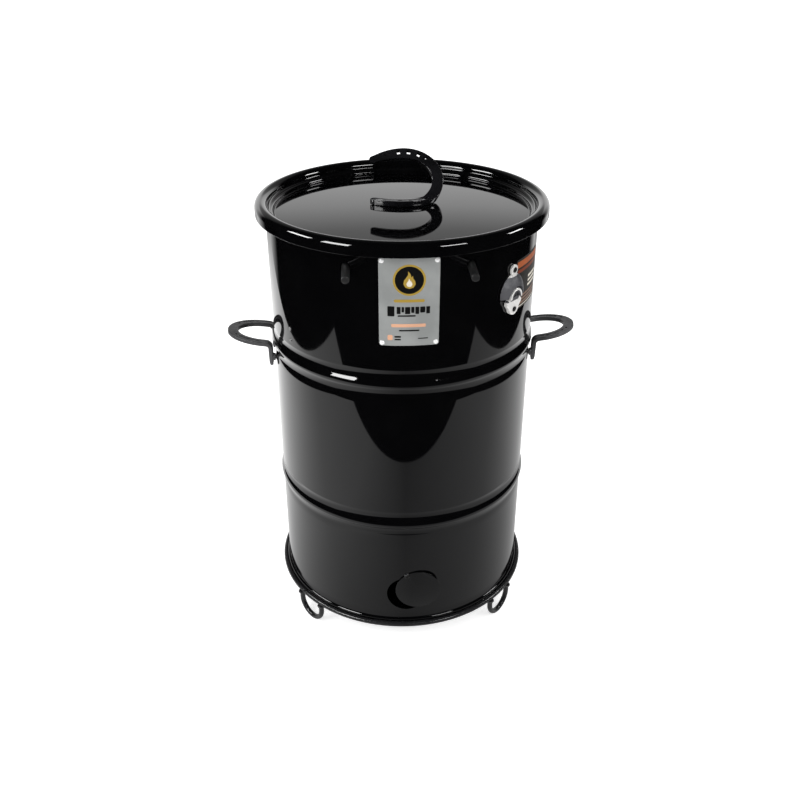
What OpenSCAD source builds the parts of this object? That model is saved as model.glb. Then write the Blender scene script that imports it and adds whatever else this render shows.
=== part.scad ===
// Vertical drum smoker: an enamelled steel barrel with a recessed lift-off lid, standing on a
// round-rod ring with three loop feet. Millimetres, +Z up. The origin is on the ground under the
// barrel's axis, and the front, with the name plate and the air vent, faces -Y.

/* [Barrel] */
// Outer diameter of the plain wall
barrel_d = 470; // [460:1:480]
// Thickness of the enamelled sheet
sheet_t = 1.5; // [1.3:0.1:1.7]
// Height of the upper rolling hoop's crest
hoop_top_z = 558.2; // [555:0.1:562]
// Height of the lower rolling hoop's crest
hoop_low_z = 276.2; // [260:0.1:290]
// Full height of one hoop, from plain wall to plain wall
hoop_w = 54; // [48:1:60]
// How far a hoop's crest stands out of the wall
hoop_rise = 3.5; // [2.5:0.1:3.7]
// How deep the groove beside a crest is
hoop_dip = 1.7; // [1:0.1:2.2]

/* [Lid] */
// Height of the rim's crest above the ground
lid_crest_z = 806.15; // [804:0.05:810]
// Radius of the rim's round crest, from its own centre to its outer face
crest_r = 11.35; // [11:0.05:11.5]
// Radius of the circle on which the crest is centred
crest_ring_r = 241.4; // [241:0.1:242]
// Depth of the recessed disc below the crest
recess_depth = 23.45; // [22:0.05:26]
// Thickness of the lid's sheet
lid_t = 1.2; // [1:0.1:1.3]

/* [Stand] */
// Radius of the ring to the centre of its rod
ring_r = 242.6; // [242:0.1:243]
// Radius of the ring's and the feet's rod
rod_stand_r = 5; // [4.5:0.1:5.5]
// Height of the ring's rod centre
ring_z = 51; // [45:1:60]
// Width of one foot loop, between the rod centres
foot_w = 59; // [50:1:70]
// Direction of the two front feet, either side of the front
foot_az = 49.5; // [40:0.5:60]

/* [Horseshoe handles] */
// Thickness of the side handles' horseshoes
shoe_t = 7.5; // [6:0.5:9]
// Thickness of the lid handle's horseshoe
lid_shoe_t = 10; // [8:0.5:11]
// Upward tilt of the side handles
side_tilt = 8; // [0:1:15]
// Backward lean of the lid handle from the vertical
lid_lean = 35.6; // [20:0.1:40]
// Front edge of the lid handle, behind the barrel's axis
lid_shoe_y = 2.4; // [0:0.1:20]
// Sideways place of the lid handle's widest line
lid_shoe_x = 5.7; // [0:0.1:15]

/* [Vent] */
// Radius of the air hole
vent_r = 37; // [34:0.5:38]
// Height of the air hole's centre
vent_z = 118; // [116:0.5:120]
// Radius of the swivelling cover
cover_r = 41.8; // [41.8:0.1:43]
// Angle by which the cover stands open
cover_open = 33; // [0:1:90]

/* [Hanging gear] */
// Distance of each hanging rod from the barrel's axis
rod_x = 97.3; // [90:0.1:100]
// Height of the hanging rods
rod_z = 756; // [750:0.1:757]
// Radius of a hanging rod
rod_r = 6.35; // [5:0.05:6.5]
// Length of a hanging rod
rod_len = 534; // [520:1:540]
// Radius of the meat hooks' wire
hook_wire_r = 2; // [1.5:0.1:2.2]
// Length of a hook's straight shank
hook_shank = 110; // [80:1:140]

/* [Charcoal basket] */
// Outer radius of the basket
basket_r = 140; // [120:1:150]
// Height of the basket's wall
basket_h = 150; // [120:1:180]
// Height of the legs under the basket
basket_leg_h = 25; // [15:1:40]

/* [Hidden] */
$fn = 96;

enamel = [0.03, 0.03, 0.035];
iron = [0.16, 0.16, 0.17];
steel = [0.66, 0.67, 0.69];
bright = [0.85, 0.86, 0.88];

// Barrel
barrel_r = barrel_d / 2;
inner_r = barrel_r - sheet_t;
rim_bead_r = 4.5;                     // rolled bead on the barrel's top edge
rim_bead = [barrel_r + 4.2, lid_crest_z - 6.2];
chime_r = 5;                          // rolled seam that holds the bottom
chime = [barrel_r - 0.6, ring_z + 5.7];
bottom_z = chime[1] + 3.3;            // underside of the bottom sheet
gap = 0.05;                           // clearance where two pieces rest on each other
weld = 0.2;                           // overlap that joins the stretches of one bent piece

// Lid
disc_z = lid_crest_z - recess_depth;  // top of the recessed disc
crest_z = lid_crest_z - crest_r;      // centre of the crest's round
lip_z = crest_z - 11.8;               // lower edge of the lip
recess_r = 220.5;                     // upright wall of the recess

// Hanging rods and grate
rod_hole_r = 7.95;
rod_hole_z = rod_z + rod_hole_r - rod_r - gap;
grate_z = rod_z + rod_r + gap;
grate_t = 4;
grate_r = 216.5;
grate_pitch = 14;
hook_ys = [-105, -35, 35, 105];
hook_ring_r = rod_r + 0.08 + hook_wire_r;
hook_bend_r = 20;
hook_step = 0.05;                     // how much thinner the shank and point are than the bends

// Side handles: a flat toe part, a bend at the wall and two tabs hanging down it
side_web = 16;
side_half_w = 50;
side_toe = 65.4;
side_toe_web = 19;
side_heel_l = 51.5;
side_heel_in = 6;
heel_web = 13;
side_flat = 8;                        // flat stretch between the bend and the widest line
bend_r = 5;                           // inner radius of the bend
side_turn = 90 - side_tilt;
side_bend_l = (bend_r + shoe_t / 2) * side_turn * PI / 180;
tab_x = barrel_r + 1.4;               // wall side of the tabs, clear of the hoop's crest
side_axis = [tab_x + shoe_t + bend_r, hoop_top_z - 18.4];
stud_y = 41;
stud_z = side_axis[1] - 19;
stud_r = 4;

// Lid handle: lower branch flat on the lid, the rest folded up
lid_web = 18.5;
lid_half_w = 58.5;
lid_toe = 69.2;
lid_toe_web = 19.8;
lid_heel_l = 53.9;
lid_heel_in = 13.8;
fold_r = 6;
fold_turn = 90 - lid_lean;
fold_l = (fold_r + lid_shoe_t / 2) * fold_turn * PI / 180;
fold_v = -lid_half_w + lid_web;       // where the fold begins, across the shoe
fold_axis = [lid_shoe_y + lid_web, disc_z + lid_shoe_t + fold_r];
lid_stud_r = 2.5;
lid_stud_y = lid_shoe_y + lid_web / 2;
lid_stud_xs = [lid_shoe_x - 27, lid_shoe_x + 18.5];

// Vent
vent_x = -1.5;
pivot_z = vent_z + 42.5;
pivot_reach = 38;                     // pivot to the cover's centre
cover_t = 1.2;
cover_y = -barrel_r - 0.8;            // wall side of the cover
pivot_r = 2.5;

// Name plate
plate_half_az = 11.6;
plate_z = [631.3, 777.8];
plate_t = 1;
plate_rivets_at = [for (s = [-1, 1], z = [plate_z[0] + 4.8, plate_z[1] - 4.8])
    [s * (plate_half_az - 1.17), z]];

// Bottle opener
opener_az = 46.8;
opener_y = barrel_r + 0.45;           // distance of its flat back from the barrel's axis
opener_top_z = 728;
opener_low_z = 661;
opener_r = 2.4;                       // screw radius
eye_t = 4;                            // thickness of the upper eye
lobe_t = 7;                           // thickness of the lower lobe
hood_z = 688;
hood_h = 15;                          // how far the hood stands out
hood_foot_r = 33;                     // radius of the hood where it meets its back
hood_ball_r = (pow(hood_foot_r, 2) + pow(hood_h, 2)) / (2 * hood_h);
mouth_z = 682;

// Care label and the two rivets on the left
label_az = [49.5, 72];
label_z = [650, 739];
side_rivets_at = [[-56.1, 617], [-56.1, 596]];

// Charcoal basket
basket_z = bottom_z + sheet_t + basket_leg_h;
basket_t = 2;
basket_rim_z = basket_z + basket_h;
bail_r = 3;
bail_z = basket_rim_z + bail_r + gap;

// ---------- shared shapes ----------

// Points of a circular arc in the plane
function arc(c, r, from, to, n = 8) =
    [for (i = [0:n]) let (a = from + (to - from) * i / n) c + r * [cos(a), sin(a)]];

// Turns the front of the barrel to a direction, counted from the front towards +X
module at_az(az) rotate([0, 0, az]) children();

// A round hole or pin that points straight out of the barrel at one height
module radial(az, z, r, from, to) at_az(az) translate([0, -from, z]) rotate([90, 0, 0])
    cylinder(r = r, h = to - from);

// A round-rod ring
module rod_ring(r, tube) rotate_extrude() translate([r, 0]) circle(tube);

// A hexagonal prism, flat to flat
module hexagon(across, h) cylinder(d = across / cos(30), h = h, $fn = 6);

// Half width of a horseshoe's branch edge behind its widest line
function branch_v(u, half, inset, len) = half - inset * pow(u / len, 2);

// Outline of a horseshoe: toe towards +X, widest at x = 0, heels at x = -heel_l
function shoe_points(toe, half, toe_web, web, heel_l, inset) =
    let (
        inner_inset = inset - web + heel_web,
        us = [for (i = [0:6]) heel_l * (i / 6 - 1)],
        back = [for (i = [0:6]) -heel_l * i / 6],
        heel_v = half - inset - heel_web / 2
    )
    concat(
        [for (u = us) [u, -branch_v(u, half, inset, heel_l)]],
        [for (i = [1:23]) let (a = -90 + 180 * i / 24) [toe * cos(a), half * sin(a)]],
        [for (u = back) [u, branch_v(u, half, inset, heel_l)]],
        [for (i = [1:5]) let (a = 90 + 30 * i) [-heel_l, heel_v] + heel_web / 2 * [cos(a), sin(a)]],
        [for (u = us) [u, branch_v(u, half - web, inner_inset, heel_l)]],
        [for (i = [1:23]) let (a = 90 - 180 * i / 24) [(toe - toe_web) * cos(a), (half - web) * sin(a)]],
        [for (u = back) [u, -branch_v(u, half - web, inner_inset, heel_l)]],
        [for (i = [1:5]) let (a = 90 + 30 * i) [-heel_l, -heel_v] + heel_web / 2 * [cos(a), sin(a)]]
    );

// Flat horseshoe with four nail holes along each branch
module shoe_2d(toe, half, toe_web, web, heel_l, inset, nails = [82, 64, 48, 34], hole = 3.2) difference() {
    polygon(shoe_points(toe, half, toe_web, web, heel_l, inset));
    for (s = [-1, 1], a = nails)
        translate([(toe - toe_web * 0.45) * cos(a), s * (half - web * 0.42) * sin(a)])
            rotate(s * (90 - a) * -1) square([6, hole], center = true);
}

// The part of a flat shape between two limits along x
module x_band(from, to) intersection() {
    children();
    translate([from, -100]) square([to - from, 200]);
}

// The part of a flat shape between two limits along y
module y_band(from, to) intersection() {
    children();
    translate([-100, from]) square([200, to - from]);
}

// Round grid: a rim and parallel bars
module grid(r, rim_w, pitch, bar_w, t) linear_extrude(t) {
    difference() {
        circle(r);
        circle(r - rim_w);
    }
    intersection() {
        circle(r - rim_w / 2);
        for (i = [-floor((r - 18) / pitch):floor((r - 18) / pitch)])
            translate([-r, i * pitch - bar_w / 2]) square([2 * r, bar_w]);
    }
}

// ---------- barrel ----------

// How far the wall stands out or in at a height t above a hoop's crest
function hoop(t) = abs(t) < hoop_w / 6
    ? hoop_rise * cos(540 * t / hoop_w)
    : -hoop_dip * sin(540 * (abs(t) - hoop_w / 6) / hoop_w);

function hoop_points(r, z) = [for (i = [0:18]) let (t = hoop_w * (i / 18 - 0.5)) [r + hoop(t), z + t]];

function wall_points(r) = concat(
    [[r, chime[1]]], hoop_points(r, hoop_low_z), hoop_points(r, hoop_top_z), [[r, rim_bead[1] + 1]]
);

function reversed(v) = [for (i = [len(v) - 1:-1:0]) v[i]];

module barrel_shell() color(enamel) difference() {
    rotate_extrude() {
        polygon(concat(wall_points(barrel_r), reversed(wall_points(inner_r))));
        translate(rim_bead) circle(rim_bead_r);
        translate(chime) circle(chime_r);
    }
    translate([vent_x, -barrel_r + 40, vent_z]) rotate([90, 0, 0]) cylinder(r = vent_r, h = 60);
    translate([vent_x, -barrel_r + 40, pivot_z]) rotate([90, 0, 0]) cylinder(r = pivot_r + gap, h = 60);
    for (s = [-1, 1])
        translate([s * rod_x, barrel_r, rod_hole_z]) rotate([90, 0, 0])
            cylinder(r = rod_hole_r, h = barrel_d);
    for (s = [-1, 1], y = [-stud_y, stud_y])
        translate([s * (barrel_r - 20), y, stud_z]) rotate([0, s * 90, 0])
            cylinder(r = stud_r + 0.3, h = 30);
    for (p = plate_rivets_at) radial(p[0], p[1], 1.65, inner_r - 3, barrel_r + 3);
    for (p = side_rivets_at) radial(p[0], p[1], 1.65, inner_r - 3, barrel_r + 3);
    for (z = [opener_top_z, opener_low_z]) radial(opener_az, z, opener_r + gap, inner_r - 3, barrel_r + 3);
}

// Flanged sheet pressed into the lower seam
module barrel_bottom() color(enamel) rotate_extrude() {
    translate([0, bottom_z]) square([chime[0] - chime_r - gap, sheet_t]);
    translate([chime[0] - chime_r - gap - sheet_t, bottom_z - 8]) square([sheet_t, 8.5]);
}

// ---------- stand ----------

module base_ring() color(enamel) translate([0, 0, ring_z]) rod_ring(ring_r, rod_stand_r);

// One U-shaped loop of rod, set across the ring's direction, with a small flat on the ground
module foot(az) color(enamel) difference() {
    at_az(az) translate([0, -ring_r, 0]) {
        translate([0, 0, foot_w / 2 + rod_stand_r - 0.15]) rotate([90, 0, 0]) rotate([0, 0, 180])
            rotate_extrude(angle = 180) translate([foot_w / 2, 0]) circle(rod_stand_r);
        for (s = [-1, 1]) translate([s * foot_w / 2, 0, foot_w / 2 + rod_stand_r - 0.15])
            cylinder(r = rod_stand_r, h = ring_z - foot_w / 2 - rod_stand_r);
    }
    translate([0, 0, ring_z]) rod_ring(ring_r, rod_stand_r + gap);
    at_az(az) translate([-50, -ring_r - 10, -5]) cube([100, 20, 5]);
}

module foot_front_left() foot(-foot_az);
module foot_front_right() foot(foot_az);
module foot_rear() foot(180);

// ---------- side handles ----------

module side_shoe_2d() shoe_2d(side_toe, side_half_w, side_toe_web, side_web, side_heel_l, side_heel_in);

// The right handle: tilted toe part, bend, and two tabs down the wall
module side_handle() translate([side_axis[0], 0, side_axis[1]]) {
    rotate([0, -side_tilt, 0]) translate([side_flat, 0, bend_r]) linear_extrude(shoe_t)
        x_band(-side_flat - weld, 100) side_shoe_2d();
    for (s = [-1, 1])
        rotate([90, 0, 0]) rotate([0, 0, 90 + side_tilt]) rotate_extrude(angle = side_turn)
            translate([bend_r, s * (side_half_w - 0.5 - side_web / 2) - side_web / 2])
                square([shoe_t, side_web]);
    translate([-bend_r, 0, 0]) rotate([0, -90, 0]) translate([side_flat + side_bend_l, 0, 0])
        linear_extrude(shoe_t)
        x_band(-100, -side_flat - side_bend_l + weld) side_shoe_2d();
}

module handle_right() color(iron) side_handle();
module handle_left() color(iron) mirror([1, 0, 0]) side_handle();

// Weld studs on the tabs, each with a collar that stands the tab off the wall
module handle_studs() color(iron) for (s = [-1, 1], y = [-stud_y, stud_y])
    translate([s * tab_x, y, stud_z]) rotate([0, -s * 90, 0]) {
        cylinder(r = stud_r, h = 20);
        cylinder(r = 7, h = tab_x - sqrt(pow(barrel_r, 2) - pow(stud_y - 7, 2)) - gap);
    }

// Nuts on the studs, inside the barrel
module handle_nuts() color(steel) for (s = [-1, 1], y = [-stud_y, stud_y])
    translate([s * (sqrt(pow(inner_r, 2) - pow(stud_y + 7.5, 2)) - gap), y, stud_z]) rotate([0, -s * 90, 0])
        difference() {
            hexagon(13, 6);
            translate([0, 0, -1]) cylinder(r = stud_r + gap, h = 10);
        }

// ---------- plates, labels and rivets ----------

// Curved sheet on the wall, from one direction and height to another
module wall_sheet(az, z, t) at_az(az[0]) translate([0, 0, z[0]]) rotate([0, 0, -90])
    rotate_extrude(angle = az[1] - az[0]) translate([barrel_r + gap, 0]) square([t, z[1] - z[0]]);

module name_plate() color(steel) difference() {
    wall_sheet([-plate_half_az, plate_half_az], plate_z, plate_t);
    for (p = plate_rivets_at) radial(p[0], p[1], 1.65, inner_r, barrel_r + 5);
}

// A dome rivet: head outside, shank through the sheet, flat tail inside
module rivet(az, z, head_at, head_r) at_az(az) translate([0, -head_at, z]) rotate([90, 0, 0]) {
    intersection() {
        translate([0, 0, -head_r * 0.7]) sphere(head_r * 1.22, $fn = 48);
        cylinder(r = head_r, h = head_r);
    }
    translate([0, 0, inner_r - head_at - 2]) cylinder(r = 1.6, h = head_at - inner_r + 2.5);
    translate([0, 0, inner_r - head_at - 2.2]) cylinder(r = 3, h = 2);
}

module plate_rivets() color(bright) for (p = plate_rivets_at)
    rivet(p[0], p[1], barrel_r + plate_t + 2 * gap, 4);

module side_rivets() color(steel) for (p = side_rivets_at) rivet(p[0], p[1], barrel_r + gap, 3.4);

module care_label() color([0.25, 0.2, 0.18]) wall_sheet(label_az, label_z, 0.3);

// ---------- bottle opener ----------

// Cast opener: an upper screw eye, a half-round hood with an arched mouth, the lip that catches a
// bottle cap, and a lower lobe with the second screw hole
module bottle_opener() color(bright) at_az(opener_az) translate([0, -opener_y, 0])
    rotate([90, 0, 0]) difference() {
    union() {
        translate([0, opener_top_z, 0]) cylinder(r = 9, h = eye_t);
        translate([-6, hood_z, 0]) cube([12, opener_top_z - hood_z, eye_t]);
        difference() {
            intersection() {
                translate([0, hood_z, hood_h - hood_ball_r]) sphere(hood_ball_r);
                translate([-50, hood_z - 4, 0]) cube([100, 60, 30]);
            }
            translate([0, mouth_z, eye_t]) cylinder(r = 20, h = 30);
        }
        translate([0, mouth_z, 0]) intersection() {
            difference() {
                cylinder(r = 16, h = 11);
                translate([0, 0, eye_t]) cylinder(r = 10.5, h = 16);
            }
            translate([-20, -1, 0]) cube([40, 20, 20]);
        }
        linear_extrude(lobe_t) {
            translate([0, opener_low_z + 3]) circle(13);
            for (s = [-1, 1]) translate([13 * s, opener_low_z + 12]) circle(7);
            translate([-13, opener_low_z + 3]) square([26, mouth_z - opener_low_z - 3]);
            polygon([
                [-19, opener_low_z + 9], [19, opener_low_z + 9], [12, opener_low_z], [-12, opener_low_z]
            ]);
        }
    }
    for (y = [opener_top_z, opener_low_z]) translate([0, y, -1]) cylinder(r = opener_r + 0.3, h = 12);
}

module opener_screws() color(steel) at_az(opener_az)
    for (p = [[opener_top_z, eye_t], [opener_low_z, lobe_t]])
        translate([0, -opener_y - p[1] - gap, p[0]]) rotate([90, 0, 0]) {
        cylinder(r = 4.6, h = 2.2);
        translate([0, 0, -16]) cylinder(r = opener_r, h = 16.5);
    }

module opener_nuts() color(steel) at_az(opener_az)
    for (z = [opener_top_z, opener_low_z])
        translate([0, -inner_r + 0.2, z]) rotate([-90, 0, 0]) difference() {
        hexagon(8, 4);
        translate([0, 0, -1]) cylinder(r = opener_r + gap, h = 6);
    }

// ---------- air vent ----------

// Flat round cover that swivels on a screw above the hole, shown part open
module vent_cover() color(enamel) translate([vent_x, cover_y, pivot_z]) rotate([0, -cover_open, 0])
    rotate([90, 0, 0]) difference() {
        translate([0, -pivot_reach, 0]) cylinder(r = cover_r, h = cover_t);
        translate([0, 0, -1]) cylinder(r = pivot_r + gap, h = 4);
    }

module vent_screw() color(steel) translate([vent_x, cover_y - cover_t - gap, pivot_z]) rotate([90, 0, 0]) {
    intersection() {
        translate([0, 0, -4]) sphere(6.4, $fn = 48);
        cylinder(r = 5, h = 5);
    }
    translate([0, 0, -14]) cylinder(r = pivot_r, h = 14.5);
}

// Thin washer that keeps the cover off the enamel
module vent_washer() color(steel) translate([vent_x, cover_y + gap, pivot_z])
    rotate([-90, 0, 0]) difference() {
    cylinder(r = 5.5, h = 0.65);
    translate([0, 0, -1]) cylinder(r = pivot_r + gap, h = 3);
}

module vent_nut() color(steel) translate([vent_x, -inner_r + 0.2, pivot_z])
    rotate([-90, 0, 0]) difference() {
    hexagon(8, 4);
    translate([0, 0, -1]) cylinder(r = pivot_r + gap, h = 6);
}

// ---------- lid ----------

// One face of the lid's section; d is how far the face lies under the upper one
function lid_face(d) =
    let (
        step_r = (crest_ring_r - crest_r - recess_r) / 2,
        step_x = recess_r + step_r,
        foot_r = min(2.5, crest_z - 2 * step_r - disc_z)
    )
    concat(
        [[0, disc_z - d]],
        arc([recess_r - foot_r, disc_z + foot_r], foot_r + d, -90, 0),
        arc([step_x, crest_z - 2 * step_r], step_r - d, 180, 90),
        arc([step_x, crest_z], step_r + d, -90, 0),
        arc([crest_ring_r, crest_z], crest_r - d, 180, 0, 20),
        [[crest_ring_r + crest_r - d, lip_z]]
    );

module lid() color(enamel) difference() {
    rotate_extrude() polygon(concat(lid_face(0), reversed(lid_face(lid_t))));
    for (x = lid_stud_xs) translate([x, lid_stud_y, disc_z - 5]) cylinder(r = lid_stud_r + 0.25, h = 10);
}

module lid_shoe_2d()
    shoe_2d(lid_toe, lid_half_w, lid_toe_web, lid_web, lid_heel_l, lid_heel_in, [98, 81, 64, 49], 6.4);

// Horseshoe with its lower branch flat on the lid and the rest folded up and back
module lid_handle() color(iron) {
    translate([lid_shoe_x, lid_shoe_y + lid_half_w, disc_z]) linear_extrude(lid_shoe_t)
        y_band(-100, fold_v + weld) lid_shoe_2d();
    translate([lid_shoe_x, fold_axis[0], fold_axis[1]]) {
        intersection() {
            rotate([90, 0, 90]) rotate([0, 0, 270]) rotate_extrude(angle = fold_turn)
                translate([fold_r, 0]) square([lid_shoe_t, 90]);
            rotate([fold_turn / 2, 0, 0]) translate([0, -fold_v - fold_l / 2, -30])
                linear_extrude(30) lid_shoe_2d();
        }
        rotate([fold_turn, 0, 0]) translate([0, -fold_v - fold_l, -fold_r - lid_shoe_t])
            linear_extrude(lid_shoe_t)
            y_band(fold_v + fold_l - weld, 100) lid_shoe_2d();
    }
}

// Weld studs under the lower branch
module lid_studs() color(iron) for (x = lid_stud_xs)
    translate([x, lid_stud_y, disc_z - 6.5]) cylinder(r = lid_stud_r, h = 6.5);

// Nuts under the lid, flats across the grate's bars
module lid_nuts() color(steel) for (x = lid_stud_xs)
    translate([x, lid_stud_y, disc_z - lid_t - gap - 4]) difference() {
        hexagon(8, 4);
        translate([0, 0, -1]) cylinder(r = lid_stud_r + gap, h = 6);
    }

// ---------- hanging rods, hooks and grate ----------

module hanging_rod(x) color(steel) translate([x, rod_len / 2, rod_z]) rotate([90, 0, 0]) {
    cylinder(r = rod_r, h = rod_len);
}

module rod_left() hanging_rod(-rod_x);
module rod_right() hanging_rod(rod_x);

// A bent length of hook wire about the Y axis, angles counted from +X towards +Z
module wire_bend(r, from, to) rotate([90, 0, 0]) rotate([0, 0, from])
    rotate_extrude(angle = to - from) translate([r, 0]) circle(hook_wire_r, $fn = 32);

// Meat hook: crook over the rod, straight shank and a pointed bend; it hangs balanced
module hook(x, y) color(steel) translate([x, y, rod_z]) {
    wire_bend(hook_ring_r, 0, 200);
    translate([hook_ring_r, 0, -hook_shank - weld])
        cylinder(r = hook_wire_r - hook_step, h = hook_shank + 2 * weld, $fn = 32);
    translate([hook_ring_r - hook_bend_r, 0, -hook_shank]) {
        wire_bend(hook_bend_r, -200, 0);
        rotate([0, 20, 0]) translate([-hook_bend_r, 0, -weld])
            cylinder(r1 = hook_wire_r - hook_step, r2 = 0.4, h = 12, $fn = 32);
    }
}

module hook_left_1() hook(-rod_x, hook_ys[0]);
module hook_left_2() hook(-rod_x, hook_ys[1]);
module hook_left_3() hook(-rod_x, hook_ys[2]);
module hook_left_4() hook(-rod_x, hook_ys[3]);
module hook_right_1() hook(rod_x, hook_ys[0]);
module hook_right_2() hook(rod_x, hook_ys[1]);
module hook_right_3() hook(rod_x, hook_ys[2]);
module hook_right_4() hook(rod_x, hook_ys[3]);

// Grate that rests on the two rods; its bars run across them
module cooking_grate() color(steel) translate([0, 0, grate_z]) grid(grate_r, 5, grate_pitch, 4, grate_t);

// ---------- charcoal basket ----------

// Wall with three rows of windows, and two ears that carry the bail
module basket_wall() color(iron) difference() {
    union() {
        translate([0, 0, basket_z]) cylinder(r = basket_r, h = basket_h);
        for (s = [-1, 1]) translate([s * (basket_r + 1.6) - 2.4, -8, basket_rim_z - 14]) cube([4.8, 16, 26]);
    }
    translate([0, 0, basket_z - 1]) cylinder(r = basket_r - basket_t, h = basket_h + 40);
    for (row = [0:2], a = [0:7]) translate([0, 0, basket_z + 16 + row * 40]) rotate([0, 0, 22.5 * a + 11.25])
        translate([-basket_r - 5, -20, 0]) cube([2 * basket_r + 10, 40, 30]);
    translate([-basket_r - 10, 0, bail_z]) rotate([0, 90, 0])
        cylinder(r = bail_r + 0.08, h = 2 * basket_r + 20);
}

module basket_grate() color(iron) translate([0, 0, basket_z + gap])
    grid(basket_r - basket_t - gap, 5, 16, 4, 3);

module basket_legs() color(iron) for (a = [45:90:315]) rotate([0, 0, a])
    translate([basket_r - 4, 0, bottom_z + sheet_t + gap]) cylinder(r = 5, h = basket_leg_h - 2 * gap);

// Wire bail, lying forwards on the basket's rim
module basket_bail() color(steel) translate([0, 0, bail_z]) {
    rotate([0, 0, 180]) rotate_extrude(angle = 180) translate([basket_r - 4.2, 0]) circle(bail_r, $fn = 48);
    for (s = [-1, 1]) translate([s * (basket_r - 4.2), 0, 0]) rotate([0, s * 90, 0])
        cylinder(r = bail_r, h = 12, $fn = 48);
}

barrel_shell();
barrel_bottom();
base_ring();
foot_front_left();
foot_front_right();
foot_rear();
handle_left();
handle_right();
handle_studs();
handle_nuts();
name_plate();
plate_rivets();
bottle_opener();
opener_screws();
opener_nuts();
care_label();
side_rivets();
vent_cover();
vent_screw();
vent_washer();
vent_nut();
lid();
lid_handle();
lid_studs();
lid_nuts();
rod_left();
rod_right();
hook_left_1();
hook_left_2();
hook_left_3();
hook_left_4();
hook_right_1();
hook_right_2();
hook_right_3();
hook_right_4();
cooking_grate();
basket_wall();
basket_grate();
basket_legs();
basket_bail();
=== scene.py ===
"""Drum smoker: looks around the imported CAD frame. Metres, +Z up, front towards -Y."""

import math

import bmesh
import bpy
import numpy as np
from mathutils import Matrix, Vector


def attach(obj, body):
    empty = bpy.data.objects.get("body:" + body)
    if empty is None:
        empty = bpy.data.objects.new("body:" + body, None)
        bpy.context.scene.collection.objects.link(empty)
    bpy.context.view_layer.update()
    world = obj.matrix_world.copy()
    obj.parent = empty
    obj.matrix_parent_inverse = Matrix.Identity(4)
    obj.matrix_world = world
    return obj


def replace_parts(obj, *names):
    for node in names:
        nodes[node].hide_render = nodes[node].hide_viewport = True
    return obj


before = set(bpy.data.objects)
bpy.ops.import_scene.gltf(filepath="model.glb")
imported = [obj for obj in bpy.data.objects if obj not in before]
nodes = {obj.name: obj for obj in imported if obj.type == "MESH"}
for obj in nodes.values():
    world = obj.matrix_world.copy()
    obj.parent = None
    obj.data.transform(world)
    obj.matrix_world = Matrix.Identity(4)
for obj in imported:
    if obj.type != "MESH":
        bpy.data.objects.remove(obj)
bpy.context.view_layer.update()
scene = bpy.context.scene
MM = 0.001


# ---------------------------------------------------------------- materials

BLOTCH_SCALE, BRUSHED, DRAWN = 18.0, (1, 1, 26), (1, 12, 1)


def new_material(name, color, metallic, rough, spec):
    """A Principled material, with its node tree and shader."""
    mat = bpy.data.materials.new(name)
    mat.use_nodes = True
    shader = mat.node_tree.nodes["Principled BSDF"]
    shader.inputs["Base Color"].default_value = (*color, 1)
    shader.inputs["Metallic"].default_value = metallic
    shader.inputs["Roughness"].default_value = rough
    shader.inputs["Specular IOR Level"].default_value = spec
    return mat, mat.node_tree, shader


def noise(tree, scale, rough=0.5, stretch=(1, 1, 1)):
    """A noise factor in object space, with its coordinates stretched."""
    coord = tree.nodes.new("ShaderNodeTexCoord")
    mapping = tree.nodes.new("ShaderNodeMapping")
    mapping.inputs["Scale"].default_value = stretch
    tree.links.new(coord.outputs["Object"], mapping.inputs["Vector"])
    tex = tree.nodes.new("ShaderNodeTexNoise")
    tex.inputs["Scale"].default_value = scale
    tex.inputs["Detail"].default_value = 4
    tex.inputs["Roughness"].default_value = rough
    tree.links.new(mapping.outputs["Vector"], tex.inputs["Vector"])
    return tex.outputs["Fac"]


def remap(tree, value, low, high, to_low, to_high):
    node = tree.nodes.new("ShaderNodeMapRange")
    node.inputs["From Min"].default_value = low
    node.inputs["From Max"].default_value = high
    node.inputs["To Min"].default_value = to_low
    node.inputs["To Max"].default_value = to_high
    tree.links.new(value, node.inputs["Value"])
    return node.outputs["Result"]


def mix_color(tree, factor, a, b):
    node = tree.nodes.new("ShaderNodeMix")
    node.data_type = "RGBA"
    node.inputs["A"].default_value = (*a, 1)
    node.inputs["B"].default_value = (*b, 1)
    tree.links.new(factor, node.inputs["Factor"])
    return node.outputs["Result"]


def bump(tree, shader, height, strength, distance):
    node = tree.nodes.new("ShaderNodeBump")
    node.inputs["Strength"].default_value = strength
    node.inputs["Distance"].default_value = distance
    tree.links.new(height, node.inputs["Height"])
    tree.links.new(node.outputs["Normal"], shader.inputs["Normal"])


def speckled(name, dark, light, metallic, rough, grain, bump_by, distance, stretch=(1, 1, 1), spec=0.5):
    """A material whose colour wanders between two tones and whose roughness and bump follow a grain."""
    mat, tree, shader = new_material(name, dark, metallic, rough[0], spec)
    broad = noise(tree, BLOTCH_SCALE)
    fine = noise(tree, grain, 0.6, stretch)
    color = mix_color(tree, remap(tree, broad, 0.35, 0.65, 0, 1), dark, light)
    tree.links.new(color, shader.inputs["Base Color"])
    tree.links.new(remap(tree, fine, 0.3, 0.7, rough[0], rough[1]), shader.inputs["Roughness"])
    bump(tree, shader, fine, bump_by, distance)
    return mat


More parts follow.
